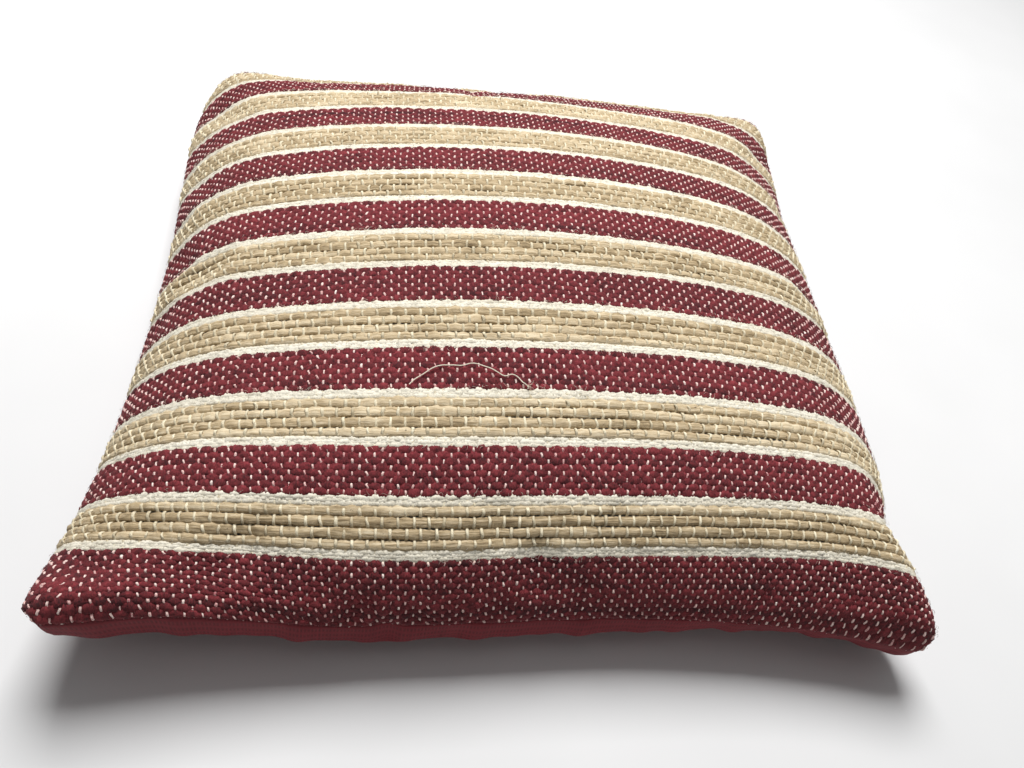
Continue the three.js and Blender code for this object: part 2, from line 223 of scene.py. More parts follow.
def uneven(points, side):
    """The unevenness of one hand-filled cover, added to the simulated one."""
    line = np.linspace(-1, 1, points.shape[0])
    u, v = np.meshgrid(line, line, indexing="ij")
    left, right = np.clip(-u, 0, 1), np.clip(u, 0, 1)
    front, rear = np.clip(-v, 0, 1), np.clip(v, 0, 1)
    middle_u, middle_v = np.cos(np.pi / 2 * u), np.cos(np.pi / 2 * v)
    x, y, z = points[..., 0], points[..., 1], points[..., 2]
    x = x + middle_v * (0.004 * right - 0.011 * left) + CORNER_DRIFT * v ** 3 * u ** 2
    x = x - 0.007 * left * rear ** 2 * (1 - rear ** 6)
    y = y + middle_u * (0.002 * front + 0.006 * rear)
    z = 0.951 * z + 0.006 * front ** 2 * (1 - u ** 4)
    # the corners are blunt: the cloth stands up steeply above their seam
    nose = (u * v) ** 4 * (1 - u ** 20) * (1 - v ** 20)
    blunt = BLUNTNESS * (0.35 * rear + front) * nose
    if side > 0:
        z = z + blunt
        z = z - 0.004 * (front * right) ** 2
    else:
        z = z - (0.4 + 0.4 * front * left) * blunt
    # the front left corner curls up, the front right one and the rear ones droop
    x = x - 0.003 * (front * left) ** 6
    curl = ease((left - 0.35) / 0.5)
    z = z + 0.016 * front ** 9 * curl
    y = y + 0.007 * front ** 4 * curl
    tip = (front * left) ** 16
    z = z - 0.005 * tip
    y = y - 0.007 * tip
    z = z - 0.012 * (front * right) ** 5 - 0.009 * rear ** 5 * np.abs(u) ** 5
    # the cloth has slid forwards along the right side, towards its front corner
    y = y - 0.031 * right ** 5 * swell(v, -0.76, 0.27)
    y = y - 0.008 * right ** 3 * swell(v, -0.45, 0.20)
    # and leaves a small notch behind that corner
    x = x + right ** 6 * (0.006 * swell(v, -0.80, 0.06) - 0.004 * swell(v, -0.67, 0.06))
    # the front edge bellies out a little left of its middle
    y = y - 0.004 * front ** 2 * swell(u, -0.28, 0.30)
    if side < 0:
        # the underside lifts along the front, and tucks in under the front right corner
        open_edge = (1 - u ** 10) * (1 - v ** 10)
        z = z + (0.004 - 0.003 * left + 0.006 * right) * front ** 3 * open_edge
        z = z - 0.0045 * swell(u, -0.76, 0.12) * front ** 3 * open_edge
        tuck = np.clip((right - 0.2) / 0.5, 0, 1)
        y = y + 0.010 * front ** 3 * tuck * (1 - v ** 24) * (1 - u ** 24)
    else:
        # a dimple and a low shoulder behind the front left corner, and a flatter rear
        dimple = np.exp(-((u + 0.90) / 0.06) ** 2 - ((v + 0.88) / 0.05) ** 2)
        shoulder = swell(v, -0.82, 0.11) * curl * (1 - u ** 12)
        z = z - 0.008 * dimple - 0.007 * shoulder - 0.005 * rear ** 3 * middle_u
    return np.stack([x, y, np.maximum(z, 0)], -1)


def open_rear_seam(points, side):
    """Straighten the rear edge along the zip and part its lips, above (1) or below (-1)."""
    edge = points[:, -1]
    past = np.maximum(edge[:, 0] - ZIP_OPEN_TO[1], ZIP_OPEN_TO[0] - edge[:, 0]) / ZIP_CLOSING
    window = ease(1 - np.clip(past, 0, 1))
    near = np.clip(np.linspace(-3, 1, points.shape[1]), 0, 1) ** 2
    target_y = ZIP_Y + (LIP_OVERHANG if side > 0 else LIP_UNDERHANG)
    target_z = ZIP_Z + side * ZIP_OPENING
    shift = np.zeros_like(points)
    shift[..., 1] = (window * (target_y - edge[:, 1]))[:, None] * near
    shift[..., 2] = (window * (target_z - edge[:, 2]))[:, None] * near
    return points + shift


def cubic_weights(cells, fine):
    """Matrix that reads a smooth cubic curve through `cells` + 1 points at `fine` + 1 places."""
    places = np.linspace(0, cells, fine + 1)
    first = np.clip(np.floor(places).astype(int), 0, cells - 1)
    t = places - first
    parts = (
        (-t ** 3 + 2 * t ** 2 - t) / 2, (3 * t ** 3 - 5 * t ** 2 + 2) / 2,
        (-3 * t ** 3 + 4 * t ** 2 + t) / 2, (t ** 3 - t ** 2) / 2,
    )
    weights = np.zeros((fine + 1, cells + 1))
    rows = np.arange(fine + 1)
    for offset, part in zip((-1, 0, 1, 2), parts):
        column = first + offset
        low, high = column < 0, column > cells
        inside = ~(low | high)
        weights[rows[inside], column[inside]] += part[inside]
        # past an end the curve runs on straight
        weights[rows[low], 0] += 2 * part[low]
        weights[rows[low], 1] -= part[low]
        weights[rows[high], cells] += 2 * part[high]
        weights[rows[high], cells - 1] -= part[high]
    return weights


class Sheet:
    """A smooth surface through a grid of points, read at any place on the cloth.

    Places are metres of cloth: `across` from the left seam, `along` from the front seam.
    Past a seam the cloth turns level into the cushion, as a seam allowance does.
    """

    def __init__(self, points):
        weights = cubic_weights(points.shape[0] - 1, SHEET_CELLS)
        self.points = np.einsum("ai,bj,ijk->abk", weights, weights, points, optimize=True)
        normals = np.cross(np.gradient(self.points, axis=0), np.gradient(self.points, axis=1))
        self.normals = normals / np.linalg.norm(normals, axis=-1, keepdims=True)

    def _read(self, grid, s, t):
        i = np.clip(np.floor(s).astype(int), 0, SHEET_CELLS - 1)
        j = np.clip(np.floor(t).astype(int), 0, SHEET_CELLS - 1)
        fs, ft = (s - i)[..., None], (t - j)[..., None]
        low = grid[i, j] * (1 - fs) + grid[i + 1, j] * fs
        high = grid[i, j + 1] * (1 - fs) + grid[i + 1, j + 1] * fs
        return low * (1 - ft) + high * ft

    def at(self, across, along, height):
        """Points `height` above the cloth at the given places."""
        inside_a = np.clip(across, 0, CLOTH)
        inside_l = np.clip(along, 0, CLOTH)
        s, t = inside_a / CLOTH * SHEET_CELLS, inside_l / CLOTH * SHEET_CELLS
        place = self._read(self.points, s, t)
        normal = self._read(self.normals, s, t)
        place = place + normal * height[..., None]
        place[..., 0] -= across - inside_a
        place[..., 1] -= along - inside_l
        return place


# ---------------------------------------------------------------- mesh helpers
def link(obj):
    bpy.context.scene.collection.objects.link(obj)
    return obj


def square(name, half):
    """A level square of ground round the origin."""
    mesh = bpy.data.meshes.new(name)
    corners = [(-half, -half, 0), (half, -half, 0), (half, half, 0), (-half, half, 0)]
    mesh.from_pydata(corners, [], [(0, 1, 2, 3)])
    return link(bpy.data.objects.new(name, mesh))


def grid_quads(index, flip):
    """Faces over a grid of vertex numbers."""
    faces = np.stack([index[:-1, :-1], index[1:, :-1], index[1:, 1:], index[:-1, 1:]], -1)
    faces = faces.reshape(-1, 4)
    return faces[:, ::-1] if flip else faces


def ring_offsets(sides):
    angle = 2 * np.pi * np.arange(sides) / sides
    return np.cos(angle), np.sin(angle)


def rounded_square(sides, power):
    """How far out a rounded square lies at each angle, with the cosines and sines."""
    cos_r, sin_r = ring_offsets(sides)
    return (np.abs(cos_r) ** power + np.abs(sin_r) ** power) ** (-1 / power), cos_r, sin_r


def set_yarn_map(obj, uv):
    layer = obj.data.uv_layers.new(name="yarn")
    layer.data.foreach_set("uv", np.ascontiguousarray(uv, dtype=np.float32).ravel())


def set_values(obj, name, values):
    """A number for each vertex, which the materials read."""
    attribute = obj.data.attributes.new(name, "FLOAT", "POINT")
    attribute.data.foreach_set("value", np.ascontiguousarray(values, dtype=np.float32).ravel())


def mesh_object(name, vertices, loops, sizes):
    """A smooth mesh: the vertex of each corner of its faces, and each face's number of corners."""
    mesh = bpy.data.meshes.new(name)
    mesh.vertices.add(len(vertices))
    mesh.vertices.foreach_set("co", np.ascontiguousarray(vertices, dtype=np.float32).ravel())
    mesh.loops.add(len(loops))
    mesh.loops.foreach_set("vertex_index", np.ascontiguousarray(loops, dtype=np.int32))
    mesh.polygons.add(len(sizes))
    starts = np.concatenate([[0], np.cumsum(sizes)[:-1]]).astype(np.int32)
    mesh.polygons.foreach_set("loop_start", starts)
    mesh.polygons.foreach_set("use_smooth", np.ones(len(sizes), dtype=bool))
    mesh.update(calc_edges=True)
    return link(bpy.data.objects.new(name, mesh))


def tubes(name, rings, along, tone):
    """Closed tubes: `rings` is (yarns, steps, ring, 3), `along` (yarns, steps) its lengths."""
    yarns, steps, sides, _ = rings.shape
    index = np.arange(yarns * steps * sides).reshape(yarns, steps, sides)
    following = np.roll(index, -1, axis=2)
    a, b = index[:, :-1], following[:, :-1]
    c, d = following[:, 1:], index[:, 1:]
    quads = np.stack([a, b, c, d], -1).reshape(-1, 4)
    caps = np.concatenate([index[:, 0, ::-1], index[:, -1, :]])
    loops = np.concatenate([quads.ravel(), caps.ravel()])
    sizes = np.concatenate([np.full(len(quads), 4), np.full(len(caps), sides)])
    obj = mesh_object(name, rings.reshape(-1, 3), loops, sizes)
    turn = np.arange(sides) / sides
    low = np.broadcast_to(turn, (yarns, steps - 1, sides))
    high = low + 1 / sides
    near = np.broadcast_to(along[:, :-1, None], low.shape)
    far = np.broadcast_to(along[:, 1:, None], low.shape)
    uv = np.stack([near, low, near, high, far, high, far, low], -1).reshape(-1, 2)
    set_yarn_map(obj, np.concatenate([uv, np.zeros((caps.size, 2))]))
    set_values(obj, "tone", np.broadcast_to(tone[..., None], (yarns, steps, sides)))
    return obj


def swept(name, paths, radius, sides, reference=(0, 0, 1)):
    """Round tubes along `paths`, (tubes, steps, 3), of a radius or of one for each step."""
    radius = np.broadcast_to(radius, paths.shape[:2])
    tangent = np.gradient(paths, axis=1)
    tangent /= np.linalg.norm(tangent, axis=-1, keepdims=True)
    side = np.cross(tangent, reference)
    side /= np.linalg.norm(side, axis=-1, keepdims=True)
    up = np.cross(side, tangent)
    cos_r, sin_r = ring_offsets(sides)
    rings = paths[:, :, None] + radius[..., None, None] * (
        side[:, :, None] * cos_r[:, None] - up[:, :, None] * sin_r[:, None])
    steps = np.linalg.norm(np.diff(paths, axis=1), axis=-1)
    length = np.concatenate([np.zeros((len(paths), 1)), np.cumsum(steps, axis=1)], axis=1)
    return tubes(name, rings, length, np.zeros(paths.shape[:2]))


CREASE = math.radians(35)      # edges that turn more than this stay sharp


def solid_object(name, shells):
    """One mesh of closed solids; each shell is (rings, looped), its rings (count, n, 3)."""
    vertices, loops, sizes, start = [], [], [], 0
    for rings, looped in shells:
        rings = np.asarray(rings, float)
        count, n, _ = rings.shape
        index = start + np.arange(count * n).reshape(count, n)
        following = np.roll(index, -1, axis=1)
        last = np.roll(index, -1, axis=0) if looped else index[1:]
        last_following = np.roll(following, -1, axis=0) if looped else following[1:]
        first = index if looped else index[:-1]
        first_following = following if looped else following[:-1]
        quads = np.stack([first, first_following, last_following, last], -1).reshape(-1, 4)
        caps = [] if looped else [index[0, ::-1], index[-1]]
        flat = rings.reshape(-1, 3)
        corner = flat[quads - start] - flat.mean(axis=0)
        volume = np.einsum("ij,ij->", corner[:, 0], np.cross(corner[:, 1], corner[:, 2]))
        volume += np.einsum("ij,ij->", corner[:, 0], np.cross(corner[:, 2], corner[:, 3]))
        if volume < 0:
            quads, caps = quads[:, ::-1], [cap[::-1] for cap in caps]
        vertices.append(flat)
        loops.extend([quads.ravel(), *caps])
        sizes.extend([4] * len(quads) + [n] * len(caps))
        start += count * n
    obj = mesh_object(name, np.concatenate(vertices), np.concatenate(loops), np.array(sizes))
    obj.data.set_sharp_from_angle(angle=CREASE)
    return obj


def wander(yarns, places, spacing, size):
    """Slow random drift along each yarn: (yarns, places) numbers of about `size`."""
    knots = max(4, int(np.ptp(places) / spacing) + 3)
    grid = np.linspace(places.min(), places.max(), knots)
    values = rng.normal(0, size, (yarns, knots))
    return np.stack([np.interp(places, grid, row) for row in values])


# ---------------------------------------------------------------- the weave
MAROON, COTTON, JUTE = "maroon", "cotton", "jute"
# The pitch of the picks; their half-width and half-height where they lie over the warp and
# under it; how far they and the warp wave up and down; and how uneven their outline is.
WEFTS = {
    MAROON: dict(pitch=3.85 * MM, wide=(3.1 * MM, 2.9 * MM), tall=(1.5 * MM, 1.42 * MM),
                 wave=0.28 * MM, warp_wave=1.10 * MM, sides=8, steps=6, lumps=0.11),
    COTTON: dict(pitch=5.8 / 3 * MM, wide=(2.0 * MM, 1.95 * MM), tall=(1.15 * MM, 1.1 * MM),
                 wave=0.05 * MM, warp_wave=0.22 * MM, sides=8, steps=5, lumps=0.14),
    JUTE: dict(pitch=6.9 * MM, wide=(3.35 * MM, 3.2 * MM), tall=(1.95 * MM, 1.75 * MM),
               wave=0.28 * MM, warp_wave=2.12 * MM, sides=14, steps=4, lumps=0.05),
}
FRONT_PICKS, MAROON_PICKS, COTTON_PICKS, JUTE_PICKS = 13, 8, 3, 4
FRONT_PITCH = 49.0 * MM / FRONT_PICKS
REPEATS = 8


def weave_plan():
    """The bands from front to rear, each with the places and numbers of its picks."""
    bands, place, number = [], 0.0, 0

    def lay(node, yarn, picks, pitch):
        nonlocal place, number
        kept = [k for k in range(picks) if place + (k + 0.5) * pitch < CLOTH]
        centres = np.array([place + (k + 0.5) * pitch for k in kept])
        bands.append(dict(node=node, yarn=yarn, centres=centres, first=number, pitch=pitch))
        number += len(kept)
        place += picks * pitch

    lay("maroon_band_1", MAROON, FRONT_PICKS, FRONT_PITCH)
    for k in range(1, REPEATS + 1):
        lay(f"cotton_band_{2 * k - 1}", COTTON, COTTON_PICKS, WEFTS[COTTON]["pitch"])
        lay(f"jute_band_{k}", JUTE, JUTE_PICKS, WEFTS[JUTE]["pitch"])
        lay(f"cotton_band_{2 * k}", COTTON, COTTON_PICKS, WEFTS[COTTON]["pitch"])
        lay(f"maroon_band_{k + 1}", MAROON, MAROON_PICKS, WEFTS[MAROON]["pitch"])
    return bands


def weft_piece(sheet, band):
    """The picks of one band, weaving over and under the warp."""
    spec = WEFTS[band["yarn"]]
    steps = WARP_COUNT * spec["steps"] + 1
    across = np.linspace(-4 * MM, CLOTH + 4 * MM, steps)
    picks = len(band["centres"])
    numbers = band["first"] + np.arange(picks)
    phase = across[None] / WARP_PITCH - 0.5 - numbers[:, None]
    over = np.cos(np.pi * phase)
    over = np.sign(over) * np.abs(over) ** 0.8
    share = 0.5 + 0.5 * over
    plump = 1 + wander(picks, across, 12 * MM, 0.06 if band["yarn"] != JUTE else 0.09)
    wide = (spec["wide"][1] + (spec["wide"][0] - spec["wide"][1]) * share) * plump
    tall = (spec["tall"][1] + (spec["tall"][0] - spec["tall"][1]) * share) * plump
    height = spec["wave"] * over + wander(picks, across, 9 * MM, 0.10 * MM)
    drift = wander(picks, across, 25 * MM, 0.18 * MM)
    centre = band["centres"][:, None] + drift
    cos_r, sin_r = ring_offsets(spec["sides"])
    lumps = 1 + rng.normal(0, spec["lumps"], (picks, steps, spec["sides"]))
    if band["yarn"] == JUTE:
        # bast fibres lie in ridges that run along the pick
        ridges = wander(picks * spec["sides"], across, 22 * MM, 0.10)
        lumps += ridges.reshape(picks, spec["sides"], steps).transpose(0, 2, 1)
    along = centre[..., None] + wide[..., None] * cos_r * lumps
    lift = height[..., None] + tall[..., None] * sin_r * lumps
    places = np.broadcast_to(across[None, :, None], along.shape)
    rings = sheet.at(places, along, lift)
    tone = wander(picks, across, 18 * MM, 0.8) + rng.normal(0, 0.9, (picks, 1))
    length = np.broadcast_to(across, (picks, steps)) + YARN_SHIFT * numbers[:, None]
    return tubes(band["node"].replace("band", "weft"), rings[:, :, ::-1], length, tone)


def warp_pieces(sheet, bands, groups=12):
    """The warp ends, in strips: each end runs from the front seam to the rear seam."""
    centres = np.concatenate([band["centres"] for band in bands])
    waves = np.concatenate([
        np.full(len(b["centres"]), WEFTS[b["yarn"]]["warp_wave"]) for b in bands])
    tinted = np.concatenate([
        np.full(len(b["centres"]), 1.0 if b["yarn"] == MAROON else 0.0) for b in bands])
    steps = 4 * len(centres)
    pick = np.linspace(-1.5, len(centres) - 0.3, steps)
    grid = np.arange(len(centres))
    along = np.interp(pick, grid, centres)
    along = np.where(pick < 0, centres[0] + pick * 3 * MM, along)
    beyond = pick - (len(centres) - 1)
    along = np.where(beyond > 0, centres[-1] + beyond * 3 * MM, along)
    tint = np.interp(pick, grid, tinted)
    per_group = WARP_COUNT // groups
    cos_r, sin_r = ring_offsets(6)
    pieces = []
    for group in range(groups):
        ends = np.arange(group * per_group, (group + 1) * per_group)
        centre = (ends[:, None] + 0.5) * WARP_PITCH + wander(len(ends), along, 12 * MM, 0.35 * MM)
        # an end leans as it crosses each pick, one way or the other
        lean = wander(len(ends), along, 60 * MM, 0.30 * MM) * np.sin(2 * np.pi * pick)
        centre = centre + lean
        floats = waves * rng.normal(1, 0.20, (len(ends), len(centres)))
        wave = np.stack([np.interp(pick, grid, row) for row in floats])
        over = -np.cos(np.pi * (ends[:, None] - pick[None]))
        over = np.sign(over) * np.abs(over) ** 0.75
        height = wave * over + wander(len(ends), along, 8 * MM, 0.10 * MM)
        plump = 1 + wander(len(ends), along, 6 * MM, 0.13)
        wide = (0.95 - 0.22 * tint) * MM * plump
        tall = np.full_like(wide, 0.75 * MM)
        places = centre[..., None] + wide[..., None] * cos_r
        lift = height[..., None] + tall[..., None] * sin_r
        rings = sheet.at(places, np.broadcast_to(along[None, :, None], places.shape), lift)
        length = np.broadcast_to(along, (len(ends), steps)) + YARN_SHIFT * ends[:, None]
        tone = wander(len(ends), along, 7 * MM, 1.0)
        piece = tubes(f"warp_ends_{group + 1}", rings, length, tone)
        stain = (tint * np.ones((len(ends), 1)))[..., None]
        set_values(piece, "blush", np.broadcast_to(stain, rings.shape[:3]))
        pieces.append(piece)
    return pieces


# ---------------------------------------------------------------- stray fibres
def stray_fibres(name, sheet, bands, yarn, count, reach, thickness):
    """Short curled fibres that stand out of the yarns of one kind."""
    chosen = [band for band in bands if band["yarn"] == yarn]
    rows = np.concatenate([band["centres"] for band in chosen])
    across = rng.uniform(0.004, CLOTH - 0.004, count)
    along = rng.choice(rows, count) + rng.normal(0, 1.2 * MM, count)
    along = np.clip(along, 0.002, CLOTH - 0.002)
    steps, sides = 5, 3
    heading = rng.uniform(0, 2 * np.pi, count)
    bend = rng.normal(0, 1.2, count)
    length = reach * rng.uniform(0.5, 1.3, count)
    s = np.linspace(0, 1, steps)[None]
    angle = heading[:, None] + bend[:, None] * s
    step = length[:, None] / (steps - 1)
    x = across[:, None] + np.cumsum(np.cos(angle) * step, axis=1)
    y = along[:, None] + np.cumsum(np.sin(angle) * step, axis=1)
    rise = rng.uniform(0.6, 1.6, count)[:, None] * MM
    lift = 1.6 * MM + rise * np.sin(np.pi * (0.25 + 0.6 * s))
    cos_r, sin_r = ring_offsets(sides)
    side = thickness * (1 - 0.6 * s)
    places = x[..., None] - np.sin(angle)[..., None] * side[..., None] * cos_r
    rows_at = y[..., None] + np.cos(angle)[..., None] * side[..., None] * cos_r
    rings = sheet.at(places, rows_at, lift[..., None] + side[..., None] * sin_r)
    tone = np.broadcast_to(rng.normal(0, 1, (count, 1)), (count, steps))
    return tubes(name, rings, np.broadcast_to(s * 0.005, (count, steps)), tone)


# ---------------------------------------------------------------- materials
class Shading:
    """A Principled material and short ways to add nodes to it."""

    def __init__(self, name, roughness=0.9, metallic=0.0, sheen=0.0, sheen_tint=(1, 1, 1)):
        self.material = bpy.data.materials.new(name)
        self.material.use_nodes = True
        self.nodes = self.material.node_tree.nodes
        self.links = self.material.node_tree.links
        self.shader = self.nodes["Principled BSDF"]
        self.shader.inputs["Roughness"].default_value = roughness
        self.shader.inputs["Metallic"].default_value = metallic
        self.shader.inputs["Sheen Weight"].default_value = sheen
        self.shader.inputs["Sheen Roughness"].default_value = 0.5
        self.shader.inputs["Sheen Tint"].default_value = (*sheen_tint, 1)

    def place(self, kind, scale):
        """Coordinates from the `yarn` map, or from the object itself."""
        mapping = self.nodes.new("ShaderNodeMapping")
        mapping.inputs["Scale"].default_value = scale
        if kind == "yarn":
            source = self.nodes.new("ShaderNodeUVMap")
            source.uv_map = "yarn"
            self.links.new(source.outputs["UV"], mapping.inputs["Vector"])
        else:
            source = self.nodes.new("ShaderNodeTexCoord")
            self.links.new(source.outputs["Object"], mapping.inputs["Vector"])
        return mapping.outputs["Vector"]

    def noise(self, vector, detail=3.0, roughness=0.6):
        node = self.nodes.new("ShaderNodeTexNoise")
        node.inputs["Scale"].default_value = 1.0
        node.inputs["Detail"].default_value = detail
        node.inputs["Roughness"].default_value = roughness
        self.links.new(vector, node.inputs["Vector"])
        return node.outputs["Fac"]

    def bands(self, vector, axis="X"):
        node = self.nodes.new("ShaderNodeTexWave")
        node.bands_direction = axis
        node.inputs["Scale"].default_value = 1.0
        self.links.new(vector, node.inputs["Vector"])
        return node.outputs["Fac"]

    def attribute(self, name):
        node = self.nodes.new("ShaderNodeAttribute")
        node.attribute_name = name
        return node.outputs["Fac"]

    def math(self, operation, first, second, third=0.0):
        node = self.nodes.new("ShaderNodeMath")
        node.operation = operation
        for slot, value in zip(node.inputs, (first, second, third)):
            if isinstance(value, (int, float)):
                slot.default_value = value
            else:
                self.links.new(value, slot)
        return node.outputs["Value"]

    def add(self, value, weight, base):
        """`base` and `weight` times `value`."""
        return self.math("MULTIPLY_ADD", value, weight, base)

    def halves(self, first, second):
        return self.add(first, 0.5, self.math("MULTIPLY", second, 0.5))

    def grain(self, scale, detail=3.0, roughness=0.6):
        """Noise from the object's own coordinates."""
        scale = scale if isinstance(scale, tuple) else (scale, scale, scale)
        return self.noise(self.place("object", scale), detail, roughness)

    def streaks(self, across, along, detail=3.0, roughness=0.6):
        """Noise drawn out along the yarn."""
        return self.noise(self.place("yarn", (across, along, 1)), detail, roughness)

    def ramp(self, factor, *stops):
        node = self.nodes.new("ShaderNodeValToRGB")
        elements = node.color_ramp.elements
        while len(elements) < len(stops):
            elements.new(0.5)
        for element, (position, color) in zip(elements, stops):
            element.position = position
            element.color = (*color, 1)
        self.links.new(factor, node.inputs["Fac"])
        return node.outputs["Color"]

    def mix(self, factor, first, second):
        node = self.nodes.new("ShaderNodeMix")
        node.data_type = "RGBA"
        self.links.new(factor, node.inputs["Factor"])
        for slot, value in ((node.inputs["A"], first), (node.inputs["B"], second)):
            if isinstance(value, tuple):
                slot.default_value = (*value, 1)
            else:
                self.links.new(value, slot)
        return node.outputs["Result"]

    def color(self, color):
        self.links.new(color, self.shader.inputs["Base Color"])

    def bump(self, height, strength, distance):
        node = self.nodes.new("ShaderNodeBump")
        node.inputs["Strength"].default_value = strength
        node.inputs["Distance"].default_value = distance
        self.links.new(height, node.inputs["Height"])
        self.links.new(node.outputs["Normal"], self.shader.inputs["Normal"])

    def rough(self, factor, low, high):
        self.links.new(self.add(factor, high - low, low), self.shader.inputs["Roughness"])


def fuzzy_yarn(name, stops, dark, middle, light):
    """Soft thick yarn: mottled fibre over a slow twist."""
    m = Shading(name, 0.95, sheen=0.15, sheen_tint=light)
    fibre = m.streaks(1500, 9, 4.0, 0.7)
    twist = m.bands(m.place("yarn", (38, 0.32, 1)))
    tone = m.attribute("tone")
    mottle = m.grain(420, 4.0, 0.7)
    level = m.add(twist, 0.05, m.add(tone, 0.030, m.halves(fibre, mottle)))
    m.color(m.ramp(level, *zip(stops, (dark, middle, light))))
    m.bump(m.add(twist, 0.5, fibre), 0.9, 0.0005)
    return m.material


def warp_yarn(name):
    """Fine cream warp, stained pink where it crosses the maroon yarn."""
    m = Shading(name, 0.92, sheen=0.15, sheen_tint=(0.9, 0.86, 0.76))
    fibre = m.streaks(1400, 7)
    tone = m.attribute("tone")
    level = m.add(tone, 0.11, fibre)
    cream = m.ramp(level, (0.28, (0.48, 0.40, 0.26)), (0.72, (0.86, 0.78, 0.58)))
    pink = m.ramp(level, (0.25, (0.45, 0.13, 0.15)), (0.50, (0.80, 0.55, 0.50)),
                  (0.8, (0.95, 0.85, 0.78)))
    m.color(m.mix(m.attribute("blush"), cream, pink))
    m.bump(fibre, 0.7, 0.0004)
    return m.material


def jute_material(name):
    """Flat bundles of bast fibre: long streaks, tan to straw, with dark flecks."""
    m = Shading(name, 0.8, sheen=0.05, sheen_tint=(0.8, 0.7, 0.5))
    streaks = m.streaks(60, 15, 5.0, 0.75)
    broad = m.streaks(45, 5, 2.0)
    flecks = m.streaks(230, 9, 2.0)
    tone = m.attribute("tone")
    level = m.add(broad, 0.35, m.add(tone, 0.065, m.add(streaks, 1.7, -0.30)))
    straw = m.ramp(
        level, (0.36, (0.15, 0.10, 0.045)), (0.56, (0.36, 0.265, 0.145)),
        (0.76, (0.55, 0.43, 0.265)), (0.98, (0.74, 0.63, 0.44)),
    )
    dark = m.math("GREATER_THAN", flecks, 0.73)
    m.color(m.mix(dark, straw, (0.10, 0.065, 0.03)))
    m.bump(streaks, 1.0, 0.0007)
    m.rough(streaks, 0.65, 0.95)
    return m.material


def plain_cloth(name, dark, light, pitch):
    """Fine plain weave drawn from the cloth's own coordinates, a thread every `pitch`."""
    m = Shading(name, 0.9, sheen=0.15, sheen_tint=light)
    threads = 1.0 / (pitch * 6.5)   # a band of the wave texture is about a 6.5th of a unit
    across = m.bands(m.place("yarn", (threads, threads, 1)), "X")
    along = m.bands(m.place("yarn", (threads, threads, 1)), "Y")
    weave = m.math("MAXIMUM", across, along)
    slubs = m.streaks(900, 60)
    worn = m.streaks(14, 14)
    level = m.add(worn, 0.4, m.add(weave, 0.35, m.math("MULTIPLY", slubs, 0.5)))
    m.color(m.ramp(level, (0.30, dark), (0.85, light)))
    m.bump(m.add(slubs, 0.6, weave), 0.5, 0.0003)
    return m.material


def object_cloth(name, dark, light, scale):
    """Cloth or fibre whose detail comes from the object's own coordinates."""
    m = Shading(name, 0.9, sheen=0.1, sheen_tint=light)
    grain = m.grain(scale, 4.0)
    ribs = m.grain((scale * 0.2, scale * 4, scale * 4), 2.0)
    level = m.halves(ribs, grain)
    m.color(m.ramp(level, (0.3, dark), (0.7, light)))
    m.bump(level, 0.6, 0.0004)
    return m.material


def metal(name, dark, light):
    """Nickel plate with fine scratches, duller where fingers rub it."""
    m = Shading(name, 0.35, metallic=1.0)
    scratches = m.grain((300, 2600, 2600))
    wear = m.grain(160, 2.0)
    m.color(m.ramp(m.halves(wear, scratches), (0.35, dark), (0.65, light)))
    m.rough(wear, 0.22, 0.5)
    m.bump(scratches, 0.15, 0.0001)
    return m.material


def nylon(name, dark, light):
    """Smooth dyed plastic."""
    m = Shading(name, 0.4)
    grain = m.grain(700, 2.0)
    m.color(m.ramp(grain, (0.3, dark), (0.7, light)))
    m.rough(grain, 0.35, 0.5)
    m.bump(grain, 0.2, 0.0001)
    return m.material


def floor_material():
    m = Shading("floor_paint", 0.8)
    grain = m.grain(3)
    m.color(m.ramp(grain, (0.3, (0.68, 0.68, 0.68)), (0.7, (0.73, 0.73, 0.73))))
    return m.material


# ---------------------------------------------------------------- stage
LIGHTS = (                      # name, place, size and power
    ("key", (0.0, 0.72, 1.78), 1.0, 52.5),
    ("fill", (0.2, 0.0, 1.9), 1.4, 3.0),
)
LIGHTS_AIM = Vector((0, 0, 0.05))
AMBIENT = 0.17


def make_stage():
    """A pale floor, a weak even ambient light and two large soft lamps."""
    floor = square("floor", 4)
    floor.data.materials.append(floor_material())
    world = bpy.data.worlds.new("world")
    world.use_nodes = True
    background = world.node_tree.nodes["Background"]
    background.inputs["Color"].default_value = (1, 1, 1, 1)
    background.inputs["Strength"].default_value = AMBIENT
    bpy.context.scene.world = world
    for name, place, size, power in LIGHTS:
        light = bpy.data.lights.new(name, "AREA")
        light.size = size
        light.energy = power
        lamp = link(bpy.data.objects.new(name, light))
        lamp.location = place
        aim = LIGHTS_AIM - Vector(place)
        lamp.rotation_euler = aim.to_track_quat("-Z", "Y").to_euler()
    bpy.context.scene.view_settings.view_transform = "Standard"


# ---------------------------------------------------------------- build
make_camera()
make_stage()

top_points, under_points = simulated_cover(COVER_CELLS)
top = Sheet(open_rear_seam(uneven(top_points, 1), 1))
under = Sheet(open_rear_seam(uneven(under_points, -1), -1))

